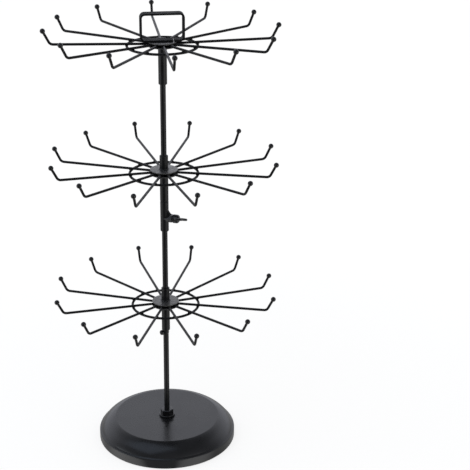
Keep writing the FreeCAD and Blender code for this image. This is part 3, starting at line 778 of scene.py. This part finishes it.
def ear(side):
    """One ear in the plane of x and z: rings of its outline, drawn in towards its middle by the half
    thickness times 1 - cos t and set off the plane by the half thickness times sin t, as t goes from
    one face to the other, so that its rim is round. The half thickness grows towards the hub."""
    corners = [(ear_root, ear_root_start), (ear_root, hub_end), (ear_reach, ear_tip_end),
               (ear_reach, ear_tip_start), (ear_root, ear_root_start)]
    outline = rounded(corners, [0, ear_corner_round, ear_corner_round], ear_corner_steps)[:-1, :2]
    middle = outline.mean(0)
    across = np.linspace(-np.pi / 2, np.pi / 2, ear_rim_steps)
    drawn = ear_half_thickness * (1 - np.cos(across))
    share = 1 - drawn[:, None] / np.linalg.norm(outline - middle, axis=1)
    flat = middle + share[:, :, None] * (outline - middle)
    swell = 1 + ear_root_swell_share * np.clip(1 - flat[:, :, :1] / ear_reach, 0, 1)
    thick = ear_half_thickness * np.sin(across)[:, None, None] * swell
    rim = ear_rim_share * np.cos(across)[:, None, None] ** ear_rim_power + 0 * thick
    walls = np.concatenate([side * flat[:, :, :1], side * thick, flat[:, :, 1:], rim], -1)
    poles = [np.broadcast_to(row.mean(0) * [1, 1, 1, 0], walls[:1].shape) for row in walls[[0, -1]]]
    return spun(np.concatenate([poles[0], walls, poles[1]]), ear_tilt)


head_section = rounded([(0, hub_end), (hub_radius, hub_end), (hub_radius, hub_start), (0, hub_start)],
                       [hub_dome_round, hub_lip_round])
screw_grids = [turned(head_section, head_sides), thread(), ear(1), ear(-1)]
thumb_screw = solid("thumb_screw", *[laid(grid, screw_turn, screw_level) for grid in screw_grids])
fit(thumb_screw, smooth_coat, "wing_screw", "black_coat", "wing_screw")

# Carry loop: a flat steel strip bent to a rectangular loop with round corners, its ends left a little
# apart in the lower side. It stands on the top plate, is welded along both edges and has a matt coat.
loop_low, loop_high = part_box("handle")
loop_width = 45.4 * mm
loop_corner = 5 * mm
loop_corner_steps = 12
strip_width = 11 * mm
strip_thickness = 2 * mm
strip_edge_round = 0.5 * mm
seam_place = 11.4 * mm
seam_gap = 1.6 * mm
loop_turn = heading("top_arm_01")
loop_weld_size = np.array([5.5, 0.9, 0.9]) * mm


def loop_path():
    """The strip's middle line from one side of the seam right round the loop to the other."""
    half = strip_thickness / 2
    left = half - loop_width / 2
    right = loop_width / 2 - half
    bottom = loop_low.z + half
    top = loop_high.z - half
    corners = [(seam_place - seam_gap / 2, bottom), (left, bottom), (left, top), (right, top),
               (right, bottom), (seam_place + seam_gap / 2, bottom)]
    return rounded(corners, [loop_corner - half] * 4, loop_corner_steps)[:, :2]


strip_corners = np.array([(-1, -1), (-1, 1), (1, 1), (1, -1)]) * [strip_thickness / 2, strip_width / 2]
strip = swept(loop_path(), closed(strip_corners, strip_edge_round))
carry_loop = solid("carry_loop", spun(strip, loop_turn))
fit(carry_loop, matt_coat, "top_tier", "black_coat", "handle")
edge_welds = [bead(loop_weld_size, (0, side * strip_width / 2, loop_low.z)) for side in (-1, 1)]
loop_welds = solid("loop_welds", *[spun(weld, loop_turn) for weld in edge_welds])
fit(loop_welds, matt_coat, "top_tier", "black_coat")

# Floor and surround: a wide pale floor that is white to the eye but for the stand's soft shadow, with a
# pool of light on the left and on the right that only gloss mirrors. The studio has a white wall
# behind the stand, a dim roof and a dim camera side.
floor_radius = 9
floor_drop = 0.1 * mm
floor_sides = 96
floor_pale = (0.80, 0.80, 0.80, 1)
floor_shade_pale = 0.30
floor_glow_near = 0.80
floor_glow_far = 0.84
floor_near_radius = 0.15
floor_far_radius = 0.9
floor_front_level = 0.09
floor_back_level = 0.48
floor_front_reach = (-0.30, 0.10)
floor_side_share = 0.9
pool_origin = (0, -0.06, 0)
pool_near_level = 1.05
pool_far_level = 0.45
pool_radii = (0.11, 0.25)
pool_spans = ((np.radians(-82), np.radians(30)), (np.radians(59), np.radians(38)))
room_level = 0.55
wall_level = 1.17
wall_cool = (0.89, 0.91, 1, 1)
front_level = 0.25
front_reach = (-0.2, 0.6)
roof_level = 0.14
roof_reach = (0.50, 0.85)
backdrop_level = 1


def floor_material():
    """A pale matt floor. To the eye it glows nearly white by itself and takes the rest from the lamps,
    so that the shadow stays. What gloss mirrors is dim in a wedge towards the camera, with a bright
    pool on each side of it: full where the heading from the pools' origin is the pool's own."""
    made, tree, shader, place = new_material("floor_matt")
    made.cycles.emission_sampling = "NONE"
    tree.nodes.remove(shader)
    path = add_node(tree, "ShaderNodeLightPath", {}).outputs
    distance = add_node(tree, "ShaderNodeVectorMath", {0: place}, operation="LENGTH").outputs["Value"]
    glow = spread(tree, distance, floor_glow_near, floor_glow_far, floor_near_radius, floor_far_radius)
    across, depth = add_node(tree, "ShaderNodeSeparateXYZ", {"Vector": place}).outputs[:2]
    aside = add_node(tree, "ShaderNodeMath", {0: across}, operation="ABSOLUTE").outputs[0]
    inputs = {0: aside, 1: floor_side_share, 2: depth}
    wedge = add_node(tree, "ShaderNodeMath", inputs, operation="MULTIPLY_ADD").outputs[0]
    mirrored = spread(tree, wedge, floor_front_level, floor_back_level, *floor_front_reach)
    inputs = {0: place, 1: pool_origin}
    away = add_node(tree, "ShaderNodeVectorMath", inputs, operation="SUBTRACT").outputs[0]
    outwards = add_node(tree, "ShaderNodeVectorMath", {0: away}, operation="NORMALIZE").outputs[0]
    pool = spread(tree, distance, pool_near_level, pool_far_level, *pool_radii)
    for middle, span in pool_spans:
        inputs = {0: outwards, 1: (np.sin(middle), -np.cos(middle), 0)}
        near = add_node(tree, "ShaderNodeVectorMath", inputs, operation="DOT_PRODUCT").outputs["Value"]
        inputs = {0: pool, 1: spread(tree, near, 0, 1, np.cos(span), 1), 2: mirrored}
        mirrored = add_node(tree, "ShaderNodeMath", inputs, operation="MULTIPLY_ADD").outputs[0]
    seen = sum_up(tree, "MAXIMUM", path["Is Camera Ray"], path["Is Glossy Ray"])
    seen = sum_up(tree, "MAXIMUM", seen, path["Is Transmission Ray"])
    matt = add_node(tree, "ShaderNodeBsdfDiffuse", {"Color": floor_pale}).outputs[0]
    shade = sum_up(tree, "MULTIPLY", path["Is Camera Ray"], floor_shade_pale)
    shadowed = add_node(tree, "ShaderNodeBsdfDiffuse", {"Color": shade}).outputs[0]
    inputs = {"Factor": path["Is Camera Ray"], "A": mirrored, "B": glow}
    strength = add_node(tree, "ShaderNodeMix", inputs).outputs[0]
    glowing = add_node(tree, "ShaderNodeEmission", {"Strength": strength}).outputs[0]
    white = add_node(tree, "ShaderNodeAddShader", {0: glowing, 1: shadowed}).outputs[0]
    mixed = add_node(tree, "ShaderNodeMixShader", {0: seen, 1: matt, 2: white}).outputs[0]
    tree.links.new(mixed, tree.nodes["Material Output"].inputs["Surface"])
    return made


def surround():
    """The studio: one plain level of light for matt surfaces, white to the camera, and mirrored as a
    white wall behind that dims towards the camera and towards the roof."""
    made = bpy.data.worlds.new("studio")
    made.use_nodes = True
    made.cycles.sampling_method = "NONE"
    tree = made.node_tree
    path = add_node(tree, "ShaderNodeLightPath", {}).outputs
    direction = add_node(tree, "ShaderNodeTexCoord", {}).outputs["Generated"]
    towards = add_node(tree, "ShaderNodeSeparateXYZ", {"Vector": direction}).outputs
    walls = spread(tree, towards["Y"], front_level, wall_level, *front_reach)
    height = spread(tree, towards["Z"], 0, 1, *roof_reach)
    inputs = {"Factor": height, "A": walls, "B": roof_level}
    mirrored = add_node(tree, "ShaderNodeMix", inputs).outputs[0]
    inputs = {"Factor": path["Is Glossy Ray"], "A": room_level, "B": mirrored}
    lit = add_node(tree, "ShaderNodeMix", inputs).outputs[0]
    inputs = {"Factor": path["Is Camera Ray"], "A": lit, "B": backdrop_level}
    seen = add_node(tree, "ShaderNodeMix", inputs).outputs[0]
    tree.links.new(seen, tree.nodes["Background"].inputs["Strength"])
    tint = shades(tree, path["Is Glossy Ray"], no_tint, wall_cool)
    tree.links.new(tint, tree.nodes["Background"].inputs["Color"])
    return made


floor_rings = np.array([[0, 0, 0], [floor_radius, 0, 0]])
floor = solid("floor", turned(floor_rings, floor_sides, origin=(0, 0, -floor_drop)))
floor.data.materials.append(floor_material())
bpy.context.scene.world = surround()

# Lamps: two long low soft boxes far out, in front on the left and right, which give the rim of the dish
# a soft sheen and light nothing else, and a large cool one overhead on the left, like a window.
lamp_aim = Vector((0, 0, 0.15))
low_box_width = 1.4
low_box_height = 0.5
low_box_power = 5
left_box_place = (-2.09, -0.72, 0.27)
left_box_colour = (0.86, 0.93, 1.0)
right_box_place = (1.41, -1.69, 0.27)
right_box_colour = (0.96, 0.98, 1.0)
window_box_side = 1.6
window_box_power = 6
window_box_place = (-0.67, -0.38, 1.71)
window_box_colour = (0.68, 0.80, 1.0)


def soft_box(name, place, width, height, power, colour, sheen_only=False):
    """A rectangular lamp at a place, turned towards the middle of the stand. A sheen lamp is mirrored in
    gloss and lights nothing else."""
    lamp = bpy.data.lights.new(name, "AREA")
    lamp.shape = "RECTANGLE"
    lamp.size = width
    lamp.size_y = height
    lamp.energy = power
    lamp.color = colour
    made = bpy.data.objects.new(name, lamp)
    made.location = place
    made.rotation_euler = (lamp_aim - Vector(place)).to_track_quat("-Z", "Y").to_euler()
    made.visible_camera = False
    made.visible_diffuse = not sheen_only
    bpy.context.scene.collection.objects.link(made)


soft_box("left_box", left_box_place, low_box_width, low_box_height, low_box_power, left_box_colour,
         sheen_only=True)
soft_box("right_box", right_box_place, low_box_width, low_box_height, low_box_power, right_box_colour,
         sheen_only=True)
soft_box("window_box", window_box_place, window_box_side, window_box_side, window_box_power,
         window_box_colour)

# Camera: in front of the stand and above it, turned a little to the right, with a long lens.
picture_side = 470
sensor_side = 36
focal_pixels = 1327.8
camera_place = Vector((0, -1.3200, 0.7877))
camera_pitch = np.radians(22.356)
camera_yaw = np.radians(3.274)
camera_roll = np.radians(0.508)
camera_reach = 40
level_ahead = Vector((np.sin(camera_yaw), np.cos(camera_yaw), 0))
level_right = Vector((np.cos(camera_yaw), -np.sin(camera_yaw), 0))
ahead = level_ahead * np.cos(camera_pitch) + Vector((0, 0, -np.sin(camera_pitch)))
level_up = level_right.cross(ahead)
right = level_right * np.cos(camera_roll) + level_up * np.sin(camera_roll)
up = level_up * np.cos(camera_roll) - level_right * np.sin(camera_roll)
lens = bpy.data.cameras.new("camera")
lens.sensor_width = sensor_side
lens.lens = focal_pixels / picture_side * sensor_side
lens.clip_end = camera_reach
camera = bpy.data.objects.new("camera", lens)
camera.matrix_world = Matrix((right, up, -ahead)).transposed().to_4x4()
camera.location = camera_place
bpy.context.scene.collection.objects.link(camera)
bpy.context.scene.camera = camera
bpy.context.scene.view_settings.view_transform = "Standard"
